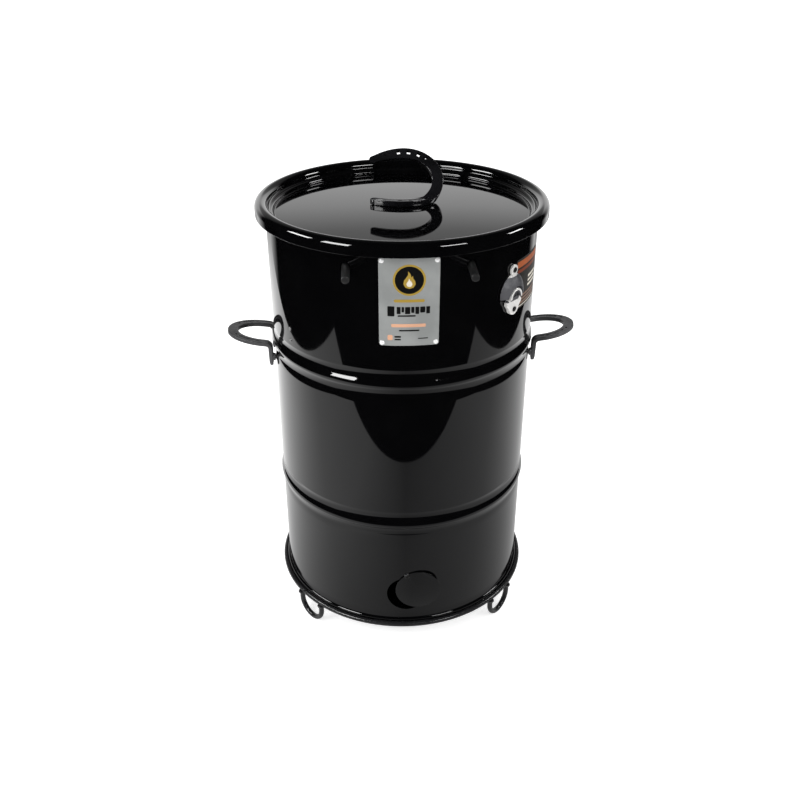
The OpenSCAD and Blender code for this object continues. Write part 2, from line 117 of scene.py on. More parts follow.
enamel = speckled("enamel", (0.0010, 0.0010, 0.0012), (0.0014, 0.0014, 0.0016), 0, (0.025, 0.045), 40,
                  0.02, 0.0002)
stand_black = speckled("stand_black", (0.008, 0.008, 0.009), (0.013, 0.013, 0.014), 0, (0.16, 0.3), 300,
                       0.2, 0.0002)
iron = speckled("horseshoe_iron", (0.03, 0.03, 0.032), (0.09, 0.09, 0.094), 0.15, (0.3, 0.5), 300,
                0.9, 0.0005)
iron_gloss = speckled("handle_iron_gloss", (0.004, 0.004, 0.0045), (0.007, 0.007, 0.008), 0, (0.07, 0.15),
                      240, 0.25, 0.0003)
zinc = speckled("zinc", (0.5, 0.51, 0.53), (0.68, 0.69, 0.7), 1, (0.25, 0.42), 500, 0.2, 0.0001)
rivet_white = speckled("rivet_white", (0.8, 0.8, 0.8), (0.88, 0.88, 0.88), 0.25, (0.2, 0.3), 300, 0.1, 0.0001)
plate_metal = speckled("brushed_plate", (0.27, 0.28, 0.275), (0.34, 0.35, 0.345), 0.35, (0.34, 0.5), 60,
                       0.22, 0.0001, BRUSHED)
nickel = speckled("nickel", (0.72, 0.71, 0.69), (0.84, 0.83, 0.81), 0.35, (0.16, 0.3), 160, 0.22, 0.0003)
# The opener's dark material is a painted dark reflection on its chrome hood and painted shade in its mouth,
# with a mottled grain.
painted_reflection_and_shade = speckled("painted_reflection_and_shade", (0.05, 0.05, 0.056), (0.1, 0.1, 0.108), 0.4, (0.4, 0.62), 330, 0.8, 0.0005)
black_screw = speckled("black_screw", (0.012, 0.012, 0.012), (0.02, 0.02, 0.02), 0.4, (0.25, 0.4), 400,
                       0.2, 0.0001)
stainless = speckled("stainless", (0.5, 0.5, 0.51), (0.62, 0.62, 0.63), 1, (0.18, 0.34), 90,
                     0.15, 0.0001, DRAWN)
dull_steel = speckled("dull_steel", (0.14, 0.14, 0.14), (0.22, 0.22, 0.22), 0.6, (0.2, 0.3), 300, 0.1, 0.0001)
rod_steel = speckled("rod_steel", (0.02, 0.02, 0.021), (0.045, 0.045, 0.045), 0.6, (0.3, 0.45), 90,
                     0.15, 0.0001, DRAWN)
grate_steel = speckled("grate_steel", (0.55, 0.55, 0.56), (0.68, 0.67, 0.66), 1, (0.2, 0.36), 200,
                       0.2, 0.0001)
raw_steel = speckled("raw_steel", (0.09, 0.085, 0.08), (0.2, 0.17, 0.15), 0.8, (0.4, 0.65), 160, 0.5, 0.0003)
weld_metal = speckled("weld_bead", (0.02, 0.02, 0.021), (0.035, 0.035, 0.037), 0.1, (0.3, 0.45), 500,
                      0.6, 0.0004)
label_film = speckled("label_film", (0.016, 0.014, 0.012), (0.026, 0.022, 0.018), 0, (0.4, 0.5), 200,
                      0.08, 0.0001, spec=0.15)


def ink(name, color, rough=0.4):
    worn = tuple(c * 0.88 for c in color)
    return speckled(name, worn, color, 0, (rough, rough + 0.1), 500, 0.1, 0.00005, spec=0.15)


ink_black = ink("ink_black", (0.004, 0.004, 0.004), 0.35)
ink_gold = ink("ink_gold", (0.3, 0.2, 0.03))
ink_pale = ink("ink_pale", (0.58, 0.54, 0.46))
ink_orange = ink("ink_orange", (0.3, 0.07, 0.017))
ink_brown = ink("ink_brown", (0.155, 0.03, 0.01))
ink_copper = ink("ink_copper", (0.19, 0.115, 0.08))
ink_peach = ink("ink_peach", (0.55, 0.3, 0.19))


# ---------------------------------------------------------------- mesh helpers

def link(name, mesh, *mats):
    obj = bpy.data.objects.new(name, mesh)
    scene.collection.objects.link(obj)
    for m in mats:
        obj.data.materials.append(m)
    return obj


def finish_mesh(mesh, angle=32):
    """Smooth shading with hard edges kept above an angle."""
    mesh.polygons.foreach_set("use_smooth", [True] * len(mesh.polygons))
    mesh.set_sharp_from_angle(angle=math.radians(angle))
    mesh.update()


def mesh_from(name, verts, faces, angle=32):
    mesh = bpy.data.meshes.new(name)
    mesh.from_pydata([tuple(v) for v in verts], [], faces)
    bm = bmesh.new()
    bm.from_mesh(mesh)
    bmesh.ops.recalc_face_normals(bm, faces=bm.faces)
    bm.to_mesh(mesh)
    bm.free()
    finish_mesh(mesh, angle)
    return mesh


def lathe(name, profile, steps=256, angle=32, closed=True):
    """Revolves a profile of (r, z) in millimetres about the Z axis."""
    n = len(profile)
    verts, ring = [], []
    for r, z in profile:
        if r < 1e-6:
            ring.append([len(verts)])
            verts.append((0, 0, z * MM))
            continue
        ring.append(list(range(len(verts), len(verts) + steps)))
        for i in range(steps):
            a = 2 * math.pi * i / steps
            verts.append((r * math.cos(a) * MM, r * math.sin(a) * MM, z * MM))
    faces = []
    for k in range(n if closed else n - 1):
        a, b = ring[k], ring[(k + 1) % n]
        for i in range(steps):
            j = (i + 1) % steps
            if len(a) == 1 and len(b) == 1:
                continue
            if len(a) == 1:
                faces.append((a[0], b[i], b[j]))
            elif len(b) == 1:
                faces.append((a[i], b[0], a[j]))
            else:
                faces.append((a[i], b[i], b[j], a[j]))
    return mesh_from(name, verts, faces, angle)


def tube(name, points, radius, sides=16, closed=False, taper=None, angle=50):
    """A round tube in millimetres along points, with capped ends."""
    pts = [Vector(p) for p in points]
    n = len(pts)
    verts, faces = [], []
    tangents = []
    for i in range(n):
        before = pts[i - 1] if closed or i else pts[0]
        after = pts[(i + 1) % n] if closed or i < n - 1 else pts[-1]
        tangents.append((after - before).normalized())
    helper = Vector((0, 0, 1)) if abs(tangents[0].z) < 0.9 else Vector((0, 1, 0))
    side = tangents[0].cross(helper).normalized()
    for i in range(n):
        side = (side - tangents[i] * side.dot(tangents[i])).normalized()
        up = tangents[i].cross(side)
        r = radius * (taper(i / (n - 1)) if taper else 1)
        for k in range(sides):
            a = 2 * math.pi * k / sides
            verts.append((pts[i] + side * r * math.cos(a) + up * r * math.sin(a)) * MM)
    for i in range(n if closed else n - 1):
        for k in range(sides):
            a, b = i * sides + k, i * sides + (k + 1) % sides
            c, d = ((i + 1) % n) * sides + (k + 1) % sides, ((i + 1) % n) * sides + k
            faces.append((a, b, c, d))
    if not closed:
        faces.append(tuple(range(sides)))
        faces.append(tuple(range((n - 1) * sides, n * sides)))
    return mesh_from(name, verts, faces, angle)


def join(name, meshes):
    """One mesh from several, keeping each one's own material as a slot of its own."""
    bm = bmesh.new()
    slots = []
    for mesh, mat in meshes:
        if mat not in slots:
            slots.append(mat)
        first = len(bm.faces)
        bm.from_mesh(mesh)
        bm.faces.ensure_lookup_table()
        for f in bm.faces[first:]:
            f.material_index = slots.index(mat)
        bpy.data.meshes.remove(mesh)
    out = bpy.data.meshes.new(name)
    bm.to_mesh(out)
    bm.free()
    return link(name, out, *slots)


SIDEWAYS = Matrix.Rotation(math.radians(90), 4, "X")


def moved(mesh, matrix):
    mesh.transform(matrix)
    return mesh


def boolean_cut(obj, cutters):
    """Takes cutter meshes out of an object, and applies it."""
    bm = bmesh.new()
    for c in cutters:
        bm.from_mesh(c)
        bpy.data.meshes.remove(c)
    tool_mesh = bpy.data.meshes.new("cutter")
    bm.to_mesh(tool_mesh)
    bm.free()
    tool = link("cutter", tool_mesh)
    mod = obj.modifiers.new("cut", "BOOLEAN")
    mod.operation = "DIFFERENCE"
    mod.solver = "EXACT"
    mod.object = tool
    apply_modifiers(obj)
    bpy.data.objects.remove(tool)


def apply_modifiers(obj):
    bpy.context.view_layer.update()
    graph = bpy.context.evaluated_depsgraph_get()
    done = bpy.data.meshes.new_from_object(obj.evaluated_get(graph), depsgraph=graph)
    obj.modifiers.clear()
    old = obj.data
    obj.data = done
    bpy.data.meshes.remove(old)


def cylinder(r, low, high, steps):
    """A cylinder along Z in millimetres."""
    return lathe("cylinder", [(0, low), (r, low), (r, high), (0, high)], steps, closed=False)


def side_cylinder(r, near, far, x, z, steps):
    """A cylinder along -Y in millimetres, to cut through the wall."""
    return moved(cylinder(r, near, far, steps), Matrix.Translation((x * MM, 0, z * MM)) @ SIDEWAYS)


def box_mesh(name, matrix):
    """A unit cube carried by a matrix."""
    box = bmesh.new()
    bmesh.ops.create_cube(box, size=1.0, matrix=matrix)
    mesh = bpy.data.meshes.new(name)
    box.to_mesh(mesh)
    box.free()
    return mesh


def outward(az, z, depth):
    """A frame on the wall at a direction from the front towards +X: X along the wall, Y up, Z outwards."""
    a = math.radians(az)
    out = Vector((math.sin(a), -math.cos(a), 0))
    along = Vector((math.cos(a), math.sin(a), 0))
    m = Matrix((along, Vector((0, 0, 1)), out)).transposed().to_4x4()
    m.translation = (out * depth + Vector((0, 0, z))) * MM
    return m


def arc(cx, cz, r, start, end, n):
    """Points of a round stretch, its ends in degrees."""
    return [(cx + r * math.cos(math.radians(start + (end - start) * i / n)),
             cz + r * math.sin(math.radians(start + (end - start) * i / n))) for i in range(n + 1)]


# ---------------------------------------------------------------- barrel

BARREL_R, SHEET = 235.0, 1.5
INNER_R = BARREL_R - SHEET
HOOPS, HOOP_W, RISE, DIP = (276.2, 558.2), 54.0, 3.5, 1.7
RIM_BEAD, RIM_BEAD_R = (239.2, 799.95), 4.5
CHIME, CHIME_R = (234.4, 56.7), 5.0
VENT_X, VENT_Z, VENT_R, PIVOT_Z, PIVOT_R = -1.5, 118.0, 37.0, 160.5, 2.5
ROD_X, ROD_Z, ROD_R, HOLE_R, HOLE_Z = 97.3, 756.0, 6.35, 7.95, 757.55


def hoop(t):
    """How far the wall stands out or in at a height t above a hoop's crest: a bulge between two dips."""
    if abs(t) >= HOOP_W / 2:
        return 0.0
    if abs(t) < HOOP_W / 6:
        return RISE * math.cos(math.radians(540 * t / HOOP_W))
    return -DIP * math.sin(math.radians(540 * (abs(t) - HOOP_W / 6) / HOOP_W))


def wall_offset(z):
    return sum(hoop(z - h) for h in HOOPS)


WALL_LOW, WALL_TOP = 63.0, 794.0


def wall_heights():
    """Heights of the wall's rings, close together over the hoops."""
    z, out = WALL_LOW, []
    while z < WALL_TOP:
        out.append(z)
        z += 1.5 if any(abs(z + 0.75 - h) < HOOP_W / 2 + 3 for h in HOOPS) else 12.0
    return out


heights = wall_heights()
outside = [(BARREL_R + wall_offset(z), z) for z in heights]
inside = [(INNER_R + wall_offset(z), z) for z in reversed(heights)]
top_bead = arc(*RIM_BEAD, RIM_BEAD_R, -138, 180, 24)
low_bead = arc(*CHIME, CHIME_R, -180, 78, 20)
barrel_profile = [(INNER_R, WALL_LOW - 1), *low_bead, *outside, *top_bead, *inside]
barrel = link("barrel", lathe("barrel", barrel_profile, 320, 40), enamel)

cuts = [side_cylinder(VENT_R, 180, 280, VENT_X, VENT_Z, 128),
        side_cylinder(PIVOT_R + 0.05, 180, 280, VENT_X, PIVOT_Z, 32)]
for s in (-1, 1):
    cuts.append(side_cylinder(HOLE_R, -300, 300, s * ROD_X, HOLE_Z, 48))
boolean_cut(barrel, cuts)


def wall_normals(mesh):
    """Exact normals of the rolled wall, so that its reflections stay clean round the cut holes."""
    step = 0.25
    table_z = np.arange(WALL_LOW - 1, WALL_TOP + 2, step)
    table_s = np.gradient(np.array([wall_offset(z) for z in table_z]), step)
    mesh.polygons.foreach_set("use_smooth", [True] * len(mesh.polygons))
    mesh.set_sharp_from_angle(angle=math.radians(40))
    normals = [Vector(n.vector) for n in mesh.corner_normals]
    for poly in mesh.polygons:
        for loop in poly.loop_indices:
            co = mesh.vertices[mesh.loops[loop].vertex_index].co
            r, z = math.hypot(co.x, co.y) / MM, co.z / MM
            if not WALL_LOW + 1 < z < WALL_TOP - 0.5 or not 230 < r < 240:
                continue
            out = Vector((co.x, co.y, 0)).normalized()
            side = poly.normal.dot(out)
            if abs(side) < 0.7:
                continue
            slope = float(np.interp(z, table_z, table_s))
            n = (out - Vector((0, 0, slope))).normalized()
            normals[loop] = n if side > 0 else -n
    mesh.normals_split_custom_set(normals)


wall_normals(barrel.data)
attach(barrel, "barrel")
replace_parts(barrel, "barrel_shell")

# ---------------------------------------------------------------- stand

RING_R, RING_Z, ROD, FOOT_W = 242.6, 51.0, 5.0, 59.0
ring_points = [(RING_R * math.cos(2 * math.pi * i / 192), RING_R * math.sin(2 * math.pi * i / 192), RING_Z)
               for i in range(192)]
ring = link("stand_ring", tube("stand_ring", ring_points, ROD, 24, closed=True), stand_black)
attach(ring, "barrel")
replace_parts(ring, "base_ring")

half = FOOT_W / 2
loop_centre = half + ROD - 0.15
for name, az in (("foot_front_left", -49.5), ("foot_front_right", 49.5), ("foot_rear", 180)):
    path = [(-half, RING_Z - 2), (-half, RING_Z - 9), *arc(0, loop_centre, half, 180, 360, 40),
            (half, RING_Z - 9), (half, RING_Z - 2)]
    parts = [(tube(name, [(x, z, 0) for x, z in path], ROD, 24), stand_black)]
    for s in (-1, 1):
        bead = [(half * s + 6.6 * math.cos(a), RING_Z - 4.6, 6.2 * math.sin(a))
                for a in (2 * math.pi * i / 28 for i in range(28))]
        parts.append((tube(name, bead, 1.5, 10, closed=True), weld_metal))
    foot = join("loop_" + name, parts)
    foot.data.transform(outward(az, 0, RING_R))
    for v in foot.data.vertices:
        v.co.z = max(v.co.z, 0.0)
    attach(foot, "barrel")
    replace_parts(foot, name)

# ---------------------------------------------------------------- horseshoes

SHOE_T, HEEL_WEB, CORNER_R = 7.5, 13.0, 1.3
CREASE_DEPTH, CREASE_AT, CREASE_HALF = 1.1, 0.56, 0.09
BAR_STEPS = [0, 0.012, 0.035, 0.075, *[0.12 + 0.76 * i / 16 for i in range(17)], 0.925, 0.965, 0.988, 1]
NAIL_L = 6.0


def shoe_edges(toe, half, toe_web, web, heel_l, inset):
    """The inner and outer edge of a flat shoe from heel to heel: two branches and an ellipse toe."""
    def branch(u, h, i):
        return h - i * (u / heel_l) ** 2

    inner_inset = inset - web + HEEL_WEB
    left = [heel_l * (i / 22 - 1) for i in range(23)]
    outer = [(u, -branch(u, half, inset)) for u in left]
    inner = [(u, -branch(u, half - web, inner_inset)) for u in left]
    for i in range(1, 60):
        a = math.radians(-90 + 3 * i)
        outer.append((toe * math.cos(a), half * math.sin(a)))
        inner.append(((toe - toe_web) * math.cos(a), (half - web) * math.sin(a)))
    outer += [(u, branch(u, half, inset)) for u in reversed(left)]
    inner += [(u, branch(u, half - web, inner_inset)) for u in reversed(left)]
    return inner, outer


def corner_drop(t, web):
    """How far the face falls at a share t across the bar, for its rounded corners."""
    d = min(t, 1 - t) * web
    return CORNER_R * (1 - math.sqrt(1 - (1 - d / CORNER_R) ** 2)) if d < CORNER_R else 0.0


def shoe_bar(name, inner, outer, web, heel_l, thick):
    """The bar between two edges, with rounded corners, round heels and a crease along each branch."""
    verts, faces, top, bottom = [], [], [], []
    count = len(outer)
    for k, ((in_u, in_v), (out_u, out_v)) in enumerate(zip(inner, outer)):
        heel = k in (0, count - 1)
        creased = 6 < k < count - 7 and not 0.36 * count < k < 0.64 * count
        line_top, line_low = [], []
        for t in BAR_STEPS:
            u = in_u * (1 - t) + out_u * t
            v = in_v * (1 - t) + out_v * t
            drop = corner_drop(t, web)
            crease = CREASE_DEPTH * max(0.0, 1 - abs(t - CREASE_AT) / CREASE_HALF) if creased else 0.0
            if heel:
                u = -heel_l - HEEL_WEB / 2 * math.sqrt(1 - (2 * t - 1) ** 2)
                drop = max(drop, CORNER_R)
            line_top.append(len(verts))
            verts.append((u, v, thick - drop - crease))
            line_low.append(len(verts))
            verts.append((u, v, drop))
        top.append(line_top)
        bottom.append(line_low)
    last = len(BAR_STEPS) - 1
    for k in range(count - 1):
        for j in range(last):
            faces.append((top[k][j], top[k + 1][j], top[k + 1][j + 1], top[k][j + 1]))
            faces.append((bottom[k][j], bottom[k][j + 1], bottom[k + 1][j + 1], bottom[k + 1][j]))
        faces.append((top[k][0], bottom[k][0], bottom[k + 1][0], top[k + 1][0]))
        faces.append((top[k][-1], top[k + 1][-1], bottom[k + 1][-1], bottom[k][-1]))
    for k in (0, count - 1):
        for j in range(last):
            faces.append((top[k][j], top[k][j + 1], bottom[k][j + 1], bottom[k][j]))
    return mesh_from(name, [Vector(v) * MM for v in verts], faces)


def shoe_mesh(name, toe, half, toe_web, web, heel_l, inset, nails=(82, 64, 48, 34), thick=SHOE_T, hole=3.2):
    """A flat horseshoe with nail holes at angles counted round its toe, in degrees from the middle."""
    inner, outer = shoe_edges(toe, half, toe_web, web, heel_l, inset)
    obj = link(name, shoe_bar(name, inner, outer, web, heel_l, thick))
    holes = []
    for s in (-1, 1):
        for a in nails:
            x = (toe - toe_web * 0.45) * math.cos(math.radians(a))
            y = s * (half - web * 0.42) * math.sin(math.radians(a))
            holes.append(box_mesh("hole", Matrix.Translation((x * MM, y * MM, thick / 2 * MM))
                                  @ Matrix.Rotation(math.radians(-s * (90 - a)), 4, "Z")
                                  @ Matrix.Diagonal((NAIL_L * MM, hole * MM, 3 * thick * MM, 1))))
    boolean_cut(obj, holes)
    return obj


def bend(obj, place):
    """Carries every point of a flat shoe (u, v, w) in millimetres to its place on the object."""
    for v in obj.data.vertices:
        v.co = Vector(place(v.co.x / MM, v.co.y / MM, v.co.z / MM)) * MM
    bm = bmesh.new()
    bm.from_mesh(obj.data)
    bmesh.ops.recalc_face_normals(bm, faces=bm.faces)
    bm.to_mesh(obj.data)
    bm.free()
    finish_mesh(obj.data, 38)


TILT, BEND_R, FLAT = math.radians(8), 5.0, 8.0
AXIS_X, AXIS_Z = 248.9, 539.8
TURN = math.radians(82)
BEND_L = (BEND_R + SHOE_T / 2) * TURN


def side_place(sign):
    """Where a side handle's points go: a tilted bow, a bend, and two branches down the wall."""
    def place(u, v, w):
        if u >= -FLAT:
            a, b = u + FLAT, BEND_R + w
            x = AXIS_X + a * math.cos(TILT) - b * math.sin(TILT)
            z = AXIS_Z + a * math.sin(TILT) + b * math.cos(TILT)
        elif u > -FLAT - BEND_L:
            t = (-FLAT - u) / BEND_L
            ang = math.radians(90) + TILT + TURN * t
            x = AXIS_X + (BEND_R + w) * math.cos(ang)
            z = AXIS_Z + (BEND_R + w) * math.sin(ang)
        else:
            x = AXIS_X - BEND_R - w
            z = AXIS_Z + u + FLAT + BEND_L
        return sign * x, v, z
    return place


for sign, name in ((-1, "left"), (1, "right")):
    shoe = shoe_mesh("horseshoe_" + name, 65.4, 50, 19, 16, 51.5, 6)
    shoe.data.materials.append(iron)
    bend(shoe, side_place(sign))
    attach(shoe, "barrel")
    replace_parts(shoe, "handle_" + name)

LID_DISC_Z, LID_SHOE_T, LID_SHOE_X, LID_SHOE_Y = 782.7, 10.0, 5.7, 2.4
LID_HALF, LID_WEB, FOLD_R, LEAN = 58.5, 18.5, 6.0, 35.6
FOLD_TURN = math.radians(90 - LEAN)
FOLD_L = (FOLD_R + LID_SHOE_T / 2) * FOLD_TURN
FOLD_V = LID_WEB - LID_HALF
FOLD_Y, FOLD_Z = LID_SHOE_Y + LID_WEB, LID_DISC_Z + LID_SHOE_T + FOLD_R


def lid_place(u, v, w):
    """Where the lid handle's points go: one branch flat on the lid, a bend, and the rest leaning back."""
    x = LID_SHOE_X + u
    if v <= FOLD_V:
        return x, LID_SHOE_Y + LID_HALF + v, LID_DISC_Z + w
    if v < FOLD_V + FOLD_L:
        a, r = (v - FOLD_V) / FOLD_L * FOLD_TURN, FOLD_R + LID_SHOE_T - w
        return x, FOLD_Y + r * math.sin(a), FOLD_Z - r * math.cos(a)
    a, b = v - FOLD_V - FOLD_L, w - FOLD_R - LID_SHOE_T
    return (x, FOLD_Y + a * math.cos(FOLD_TURN) - b * math.sin(FOLD_TURN),
            FOLD_Z + a * math.sin(FOLD_TURN) + b * math.cos(FOLD_TURN))


lid_shoe = shoe_mesh("lid_horseshoe", 69.2, LID_HALF, 19.8, LID_WEB, 53.9, 13.8,
                     nails=(98, 81, 64, 49), thick=LID_SHOE_T, hole=6.4)
lid_shoe.data.materials.append(iron_gloss)
bend(lid_shoe, lid_place)
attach(lid_shoe, "lid_assembly")
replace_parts(lid_shoe, "lid_handle")

# ---------------------------------------------------------------- lid

CREST_Z, CREST_RING, CREST_R, LIP_Z, RECESS_R, LID_T = 794.8, 241.4, 11.35, 783.0, 220.5, 1.2


def lid_face(d, top):
    """The lid's profile from its middle to its lip, a depth d under the upper face."""
    step_r = (CREST_RING - CREST_R - RECESS_R) / 2
    x, z, foot = RECESS_R + step_r, CREST_Z, 2.5
    flat = (0, 60, 140, 200, RECESS_R - foot - 1.5, RECESS_R - foot - 0.4)
    return [*((r, top - d) for r in flat),
            *arc(RECESS_R - foot, top + foot, foot + d, -90, 0, 12),
            *arc(x, z - 2 * step_r, step_r - d, 180, 90, 12),
            *arc(x, z, step_r + d, -90, 0, 12)[1:],
            *arc(CREST_RING, CREST_Z, CREST_R - d, 180, 0, 40),
            (CREST_RING + CREST_R - d, LIP_Z + 4)]


upper, lower = lid_face(0, LID_DISC_Z), lid_face(LID_T, LID_DISC_Z)
lip = arc(CREST_RING + CREST_R - LID_T / 2, LIP_Z + 0.6, LID_T / 2, 0, -180, 8)
lid_profile = upper + lip + list(reversed(lower))
lid = link("lid_shell", lathe("lid_shell", lid_profile, 320, 45, closed=False), enamel)
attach(lid, "lid_assembly")
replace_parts(lid, "lid")

# ---------------------------------------------------------------- vent cover and screws

COVER_R, COVER_Y, COVER_T, REACH, OPEN = 41.8, -235.8, 1.2, 38.0, math.radians(33)
cover_profile = [(0, 0), (COVER_R - 0.5, 0), (COVER_R - 0.1, 0.15), (COVER_R, 0.6), (COVER_R - 0.15, 1.0),
                 (COVER_R - 0.6, COVER_T), (0, COVER_T)]
cover = link("vent_cover_disc", lathe("vent_cover_disc", cover_profile, 160, 50, closed=False), enamel)
cover_x = VENT_X + REACH * math.sin(OPEN)
cover_z = PIVOT_Z - REACH * math.cos(OPEN)
cover.data.transform(Matrix.Translation((cover_x * MM, COVER_Y * MM, cover_z * MM)) @ SIDEWAYS)
boolean_cut(cover, [side_cylinder(PIVOT_R + 0.05, 200, 260, VENT_X, PIVOT_Z, 32)])
finish_mesh(cover.data, 50)
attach(cover, "vent_flap")
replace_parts(cover, "vent_cover")


def screw(name, at, head_r, head_h, shank_r, shank_l, mat):
    """Pan-head screws with a cross recess; each at is a frame whose Z points out of the wall."""
    parts = []
    for m in at:
        profile = [(0, head_h), (head_r * 0.45, head_h * 0.97), (head_r * 0.75, head_h * 0.84),
                   (head_r * 0.93, head_h * 0.58), (head_r, head_h * 0.22), (head_r * 0.97, 0),
                   (shank_r, 0), (shank_r, -shank_l + 0.6), (shank_r - 0.5, -shank_l), (0, -shank_l)]
        one = link("screw", lathe("screw", profile, 48, 40, closed=False))
        for turn in (0.4, 0.4 + math.pi / 2):
            bar = box_mesh("bar", Matrix.Translation((0, 0, head_h * MM)) @ Matrix.Rotation(turn, 4, "Z")
                           @ Matrix.Diagonal((head_r * 1.05 * MM, 0.9 * MM, head_h * 1.1 * MM, 1)))
            boolean_cut(one, [bar])
        finish_mesh(one.data, 40)
        parts.append((moved(one.data.copy(), m), mat))
        bpy.data.objects.remove(one)
    obj = join(name, parts)
    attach(obj, "barrel")
    return obj


vent_frame = outward(0, PIVOT_Z, 237.05)
vent_frame.translation.x = VENT_X * MM
vent_screw = screw("vent_pivot_screw", [vent_frame], 5, 2.3, PIVOT_R, 14, black_screw)
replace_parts(vent_screw, "vent_screw")

OPENER_AZ, OPENER_Y, EYE_Z, LOBE_Z = 46.8, 235.45, 728.0, 661.0
opener_frames = [outward(OPENER_AZ, EYE_Z, OPENER_Y + 4.05), outward(OPENER_AZ, LOBE_Z, OPENER_Y + 7.05)]
pan_screws = screw("opener_pan_screws", opener_frames, 4.6, 2.3, 2.4, 16, black_screw)
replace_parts(pan_screws, "opener_screws")


def rivets(name, places, head_r, depth, mat):
    """Dome rivets through the wall, at directions and heights, with the tail spread inside."""
    parts = []
    for az, z in places:
        dome = [(0, head_r * 0.52), (head_r * 0.35, head_r * 0.49), (head_r * 0.65, head_r * 0.38),
                (head_r * 0.88, head_r * 0.2), (head_r, 0.05), (head_r, 0),
                (1.6, 0), (1.6, -3.6), (3.0, -3.6), (2.8, -5.2), (0, -5.4)]
        parts.append((moved(lathe("rivet", dome, 40, 40, closed=False), outward(az, z, depth)), mat))
    obj = join(name, parts)
    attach(obj, "barrel")
    return obj


PLATE_AZ, PLATE_LOW, PLATE_TOP = 11.6, 631.3, 777.8
corners = [(s * (PLATE_AZ - 1.17), z) for s in (-1, 1) for z in (PLATE_LOW + 4.8, PLATE_TOP - 4.8)]
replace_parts(rivets("plate_dome_rivets", corners, 4.0, BARREL_R + 1.1, rivet_white), "plate_rivets")
side_places = [(-56.1, 617), (-56.1, 596)]
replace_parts(rivets("side_dome_rivets", side_places, 3.4, BARREL_R + 0.05, dull_steel), "side_rivets")


# ---------------------------------------------------------------- wall sheets and prints

def wall_piece(name, outline, base, thick, mat, turn=0.0):
    """A thin sheet wrapped on the wall from an outline of (arc mm from the direction turn, z mm)."""
    bm = bmesh.new()
    flat = [bm.verts.new((x * MM, z * MM, 0)) for x, z in outline]
    bm.faces.new(flat)
    low = min(x for x, _ in outline)
    high = max(x for x, _ in outline)
    count = max(1, int((high - low) / 2.5))
    for i in range(1, count):
        x = (low + (high - low) * i / count) * MM
        bmesh.ops.bisect_plane(bm, geom=bm.verts[:] + bm.edges[:] + bm.faces[:], plane_co=(x, 0, 0),
                               plane_no=(1, 0, 0))
    ret = bmesh.ops.extrude_face_region(bm, geom=bm.faces[:])
    for element in ret["geom"]:
        if isinstance(element, bmesh.types.BMVert):
            element.co.z = thick * MM
    bmesh.ops.recalc_face_normals(bm, faces=bm.faces)
    for v in bm.verts:
        a = math.radians(turn) + v.co.x / MM / BARREL_R
        r = (base + v.co.z / MM) * MM
        v.co = Vector((r * math.sin(a), -r * math.cos(a), v.co.y))
    mesh = bpy.data.meshes.new(name)
    bm.to_mesh(mesh)
    bm.free()
    finish_mesh(mesh, 30)
    return mesh, mat


def rect(x0, z0, x1, z1, r):
    """A rectangle with round corners."""
    out = []
    for cx, cz, a in ((x1 - r, z0 + r, -90), (x1 - r, z1 - r, 0), (x0 + r, z1 - r, 90),
                      (x0 + r, z0 + r, 180)):
        out += arc(cx, cz, r, a, a + 90, 6)
    return out


half_w = math.radians(PLATE_AZ) * BARREL_R
plate = join("badge_plate", [wall_piece("badge", rect(-half_w, PLATE_LOW, half_w, PLATE_TOP, 4.5),
                                        BARREL_R + 0.05, 1.0, plate_metal)])
bevel = plate.modifiers.new("edge", "BEVEL")
bevel.width, bevel.segments, bevel.limit_method = 0.3 * MM, 2, "ANGLE"
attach(plate, "barrel")
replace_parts(plate, "name_plate")

FACE = BARREL_R + 1.05


def printed(name, shapes, base, thick, turn):
    """Printed areas just above a sheet's face, from outlines and their inks."""
    obj = join(name, [wall_piece(name, outline, base, thick, mat, turn) for outline, mat in shapes])
    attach(obj, "barrel")
    return obj


def disc_outline(cx, cz, r):
    return arc(cx, cz, r, 0, 360, 48)[:-1]


def flame(cx, cz, s):
    """A plain flame outline."""
    pts = [(0, -10), (5, -8.4), (7.6, -4.2), (7, 0.2), (4.6, 3.6), (4.4, 7), (2.4, 5), (1.2, 9.6), (-1.8, 13),
           (-1.6, 8.4), (-4, 4.6), (-6.6, 1), (-7.4, -3.6), (-5, -8.2)]
    return [(cx + s * x, cz + s * z) for x, z in pts]


for name, outline, colour, lift, thick in (
        ("ring", disc_outline(0, 742, 25.5), ink_gold, 0.0, 0.08),
        ("field", disc_outline(0, 742, 22.3), ink_black, 0.085, 0.05),
        ("flame", flame(0, 740.5, 1.25), ink_gold, 0.14, 0.05),
        ("core", flame(0, 737.2, 0.6), ink_pale, 0.195, 0.04)):
    printed("badge_medallion_" + name, [(outline, colour)], FACE + lift, thick, 0)
bars = [(rect(-24, 705.5, 24, 710.5, 2.4), ink_gold), (rect(-34, 682, -23, 699, 1.5), ink_black)]
for x, w, h in ((-19.5, 6, 12), (-12, 4, 9), (-6.5, 8, 12), (3, 5, 10), (9.5, 6, 12), (17, 8, 10),
                (26.5, 6, 12)):
    bars.append((rect(x, 698 - h, x + w, 698, 1), ink_black))
bars += [(rect(-18, 681.5, 10, 684, 0.8), ink_black), (rect(-28, 663.5, 26, 669, 1), ink_peach),
         (rect(-16, 656.5, 16, 659, 0.6), ink_black), (rect(-34, 641, -26, 650, 2), ink_peach),
         (rect(-23, 645.5, -13, 648.5, 0.6), ink_black), (rect(-23, 641, -13, 643.5, 0.6), ink_black),
         (rect(14, 643, 30, 644.6, 0.5), ink_black)]
printed("badge_bars", bars, FACE, 0.08, 0)

